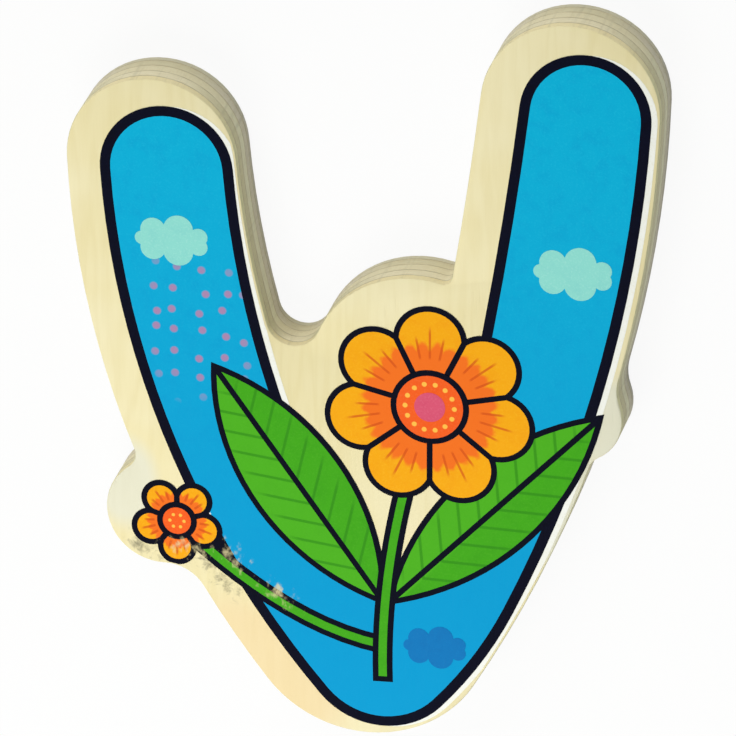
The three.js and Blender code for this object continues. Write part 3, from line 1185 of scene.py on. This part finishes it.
@dataclass
class PrintedPicture:
    """The print on the face: sky, outline, clouds, flowers, leaves and stems.

    Attributes:
        large: The flower in the middle.
        small: The flower at the side.
        gold: The petals' ink: its body, where it is thick and where it is thin.
        red: The eyes' ink, likewise.
        green: The ink of leaves and stems, likewise.
        line_shine: The specular level of the dark lines.
        sky_shine: The specular level of the sky.
    """

    large: Flower = Flower("large_blossom", 7, 14, 0.74, 0.075)
    small: Flower = Flower("small_blossom", 5, 6, 0.5, 0.12)
    gold: tuple[int, int, int] = (0xF6A803, 0xF29A02, 0xFBBA22)
    red: tuple[int, int, int] = (0xF55E18, 0xEE5212, 0xF9743A)
    green: tuple[int, int, int] = (0x3FA40F, 0x389A0C, 0x4FAE1E)
    line_shine: float = 0.02
    sky_shine: float = 0.03

    @staticmethod
    def corners(node: str) -> tuple[Place, Place]:
        """The lower left and the upper right of a node on the face.

        Args:
            node: The node's name.

        Returns:
            The two corners, in millimetres.
        """
        low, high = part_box(node)
        return ((low[0] / MM, low[1] / MM), (high[0] / MM, high[1] / MM))

    def middle(self, node: str) -> Place:
        """The middle of a node on the face, in millimetres."""
        low, high = self.corners(node)
        return ((low[0] + high[0]) / 2, (low[1] + high[1]) / 2)

    def half_height(self, node: str) -> float:
        """Half of a node's height on the face, in millimetres."""
        low, high = self.corners(node)
        return (high[1] - low[1]) / 2

    @staticmethod
    def vertices(node: str) -> list[Place]:
        """Every vertex of a node on the face, in millimetres."""
        return [(vertex.co[0] / MM, vertex.co[1] / MM) for vertex in frame["nodes"][node].data.vertices]

    def facing(self, node: str, centre: Place) -> float:
        """The way from a point to the balance point of a node's vertices.

        Args:
            node: The node's name.
            centre: The point, in millimetres.

        Returns:
            The angle, in radians.
        """
        places = self.vertices(node)
        across, up = (sum(place[axis] for place in places) / len(places) for axis in (0, 1))
        return math.atan2(up - centre[1], across - centre[0])

    def petals(self, flower: Flower) -> PetalFinish:
        """The finish of a flower's petals.

        Args:
            flower: The flower.

        Returns:
            The finish.
        """
        centre = self.middle(flower.start + "_eye")
        return PetalFinish(
            flower.start + "_petal_ink",
            *self.gold,
            centre=centre,
            radius=max(math.dist(centre, place) for place in self.vertices(flower.start + "_line")),
            petals=flower.petals,
            turn=self.facing(flower.start + "_petal_1", centre),
        )

    def eye(self, flower: Flower) -> EyeFinish:
        """The finish of a flower's eye.

        Args:
            flower: The flower.

        Returns:
            The finish.
        """
        node = flower.start + "_eye"
        radius = self.half_height(node)
        return EyeFinish(
            node + "_ink",
            *self.red,
            centre=self.middle(node),
            ring=radius * flower.seed_ring,
            seeds=flower.seeds,
            seed_radius=radius * flower.seed_radius,
        )

    def finishes(self) -> dict[str, bpy.types.Material]:
        """Makes the inks.

        Returns:
            The material by the start of the node names that take it.
        """
        left_low, left_high = self.corners("left_leaf_line")
        right_low, right_high = self.corners("right_leaf_line")
        inks: dict[str, InkFinish] = {
            "white_ground": InkFinish("white_undercoat", 0xF3F2EA, 0xFAF9F4, 0xE9E4CE),
            "sky_": SkyFinish("sky_blue_ink", 0x02B0D9, 0x00A2D2, 0x1ABCDF, self.sky_shine),
            "outline_": InkFinish("navy_outline_ink", 0x05071A, 0x020310, 0x0C0E26, self.line_shine),
            "_line": InkFinish("navy_key_ink", 0x050718, 0x02030E, 0x0C0E24, self.line_shine),
            "_cloud": InkFinish("pale_cloud_ink", 0x8FDBD0, 0x84D2CC, 0xA9E6DC),
            "foot_cloud": InkFinish("deep_cloud_ink", 0x0074B8, 0x006CB0, 0x0A7EC0),
            "stem": InkFinish("stem_green_ink", *self.green),
            "left_leaf_green": LeafFinish(
                "left_leaf_ink",
                *self.green,
                root=(left_high[0], left_low[1]),
                tip=(left_low[0], left_high[1]),
            ),
            "right_leaf_green": LeafFinish("right_leaf_ink", *self.green, root=right_low, tip=right_high),
            "large_blossom_petal": self.petals(self.large),
            "small_blossom_petal": self.petals(self.small),
            "large_blossom_eye": self.eye(self.large),
            "small_blossom_eye": self.eye(self.small),
            "large_blossom_pip": InkFinish("pink_pip_ink", 0xDA5472, 0xD04868, 0xE46E88),
        }
        return {start: finish.material() for start, finish in inks.items()}

    @staticmethod
    def key_of(name: str) -> str:
        """Tells which ink a node takes.

        Args:
            name: The node's name.

        Returns:
            The ink's key.
        """
        if name.endswith("_line"):
            return "_line"
        if "_stem" in name:
            return "stem"
        for start in PRINTED_GROUPS:
            if name.startswith(start):
                return start
        return "_cloud" if name in ("left_cloud", "right_cloud") else name

    def dress(self, board: PlywoodBoard) -> None:
        """Gives every island of ink its finish.

        Args:
            board: The board, whose layers aren't ink.
        """
        finishes = self.finishes()
        layers = {*board.plies, *board.glue_lines}
        for name, node in frame["nodes"].items():
            if name in layers:
                continue
            material = finishes[self.key_of(name)]
            node.material_slots[0].material = material
            LOG.info("%s: %s", name, material.name)


@dataclass
class Studio:
    """The floor, the light and the camera.

    Attributes:
        target: The point that the camera looks at, in millimetres.
        toward: The way from that point to the camera.
        distance: How far off the camera is, in millimetres.
        lens: Its focal length, in millimetres.
        sensor: The width of its picture, in millimetres.
        view_end: The farthest that it sees, in metres.
        floor_half: Half of the floor's width, in millimetres.
        floor_round: The radius of the floor's corners, as a share of that.
        floor_round_steps: How many edges round a corner.
        floor_gap: How far the floor lies under the letter, in millimetres.
        sky_light: The strength of the even light.
        sky_tint: Its colour.
        key_light: The power of the broad lamp, in watts.
        key_size: Its width, in millimetres.
        key_place: Its place, in millimetres.
        top_light: The strength of the top lamp.
        top_tint: Its colour.
        top_from: The way to it.
        top_softness: Its width as seen from the letter, in degrees.
    """

    target: Point = (0.563, 0.756, 5.0)
    toward: Point = (0.198, 0.403, 0.8935)
    distance: float = 900.0
    lens: float = 537.0
    sensor: float = 36.0
    view_end: float = 10.0
    floor_half: float = 1500.0
    floor_round: float = 0.4
    floor_round_steps: int = 8
    floor_gap: float = 0.02
    sky_light: float = 0.27
    sky_tint: Colour = (0.9, 1.0, 0.98, 1.0)
    key_light: float = 0.57
    key_size: float = 200.0
    key_place: Point = (-60.0, -160.0, 210.0)
    top_light: float = 1.34
    top_tint: Point = (0.99, 0.98, 0.93)
    top_from: Point = (-0.3, 0.8, 0.55)
    top_softness: float = 40.0

    def floor(self) -> None:
        """Lays a pale floor with rounded corners under the letter."""
        bpy.ops.object.select_all(action="DESELECT")
        under = (0.0, 0.0, -self.floor_gap * MM)
        bpy.ops.mesh.primitive_plane_add(size=2 * self.floor_half * MM, location=under)
        floor = bpy.context.view_layer.objects.active
        floor.name = "pale_floor"
        bpy.ops.object.mode_set(mode="EDIT")
        bpy.ops.mesh.select_all(action="SELECT")
        corner = self.floor_round * self.floor_half * MM
        bpy.ops.mesh.bevel(offset=corner, segments=self.floor_round_steps, affect="VERTICES")
        bpy.ops.object.mode_set(mode="OBJECT")
        floor.data.materials.append(FloorFinish().material())
        LOG.info("%s: laid", floor.name)

    def sky(self) -> None:
        """Surrounds the letter with an even light that the camera sees as white."""
        world = bpy.data.worlds.new("studio")
        bpy.context.scene.world = world
        graph = Graph(world)
        dim = graph.node("ShaderNodeBackground", None, {"Color": self.sky_tint, "Strength": self.sky_light})
        white = graph.node("ShaderNodeBackground", None, {"Color": WHITE, "Strength": 1.0})
        sockets = {0: graph.background(), 1: dim.outputs[0], 2: white.outputs[0]}
        either = graph.node("ShaderNodeMixShader", None, sockets)
        graph.node("ShaderNodeOutputWorld", None, {"Surface": either.outputs[0]})

    def lamps(self) -> None:
        """Hangs a broad lamp at the lower left, which fades up the letter, and a soft one at the top."""
        bpy.ops.object.light_add(type="AREA", location=Vector(self.key_place) * MM)
        key = bpy.context.view_layer.objects.active
        key.name = "broad_lamp"
        key.rotation_euler = Vector(self.key_place).to_track_quat("Z", "Y").to_euler()
        key.data.energy = self.key_light
        key.data.size = self.key_size * MM
        key.visible_camera = False
        bpy.ops.object.light_add(type="SUN")
        top = bpy.context.view_layer.objects.active
        top.name = "top_lamp"
        top.rotation_euler = Vector(self.top_from).to_track_quat("Z", "Y").to_euler()
        top.data.energy = self.top_light
        top.data.color = self.top_tint
        top.data.angle = math.radians(self.top_softness)

    def camera(self) -> None:
        """Stands the camera at the photograph's viewing angle."""
        back = Vector(self.toward).normalized()
        up = Vector((0.0, 1.0, 0.0))
        up = (up - back * up.dot(back)).normalized()
        right = up.cross(back)
        place = (Vector(self.target) + back * self.distance) * MM
        turn = Matrix((right, up, back)).transposed().to_4x4()
        bpy.ops.object.camera_add()
        camera = bpy.context.view_layer.objects.active
        camera.name = "view"
        camera.matrix_world = Matrix.Translation(place) @ turn
        camera.data.sensor_width = self.sensor
        camera.data.lens = self.lens
        camera.data.clip_end = self.view_end
        bpy.context.scene.camera = camera


def main() -> None:
    """Builds the letter and its studio."""
    logging.basicConfig(level=logging.INFO, format="%(name)s: %(message)s")
    bpy.context.scene.view_settings.view_transform = "Standard"
    board = PlywoodBoard()
    board.build()
    PrintedPicture().dress(board)
    studio = Studio()
    studio.floor()
    studio.sky()
    studio.lamps()
    studio.camera()


if __name__ == "__main__":
    main()
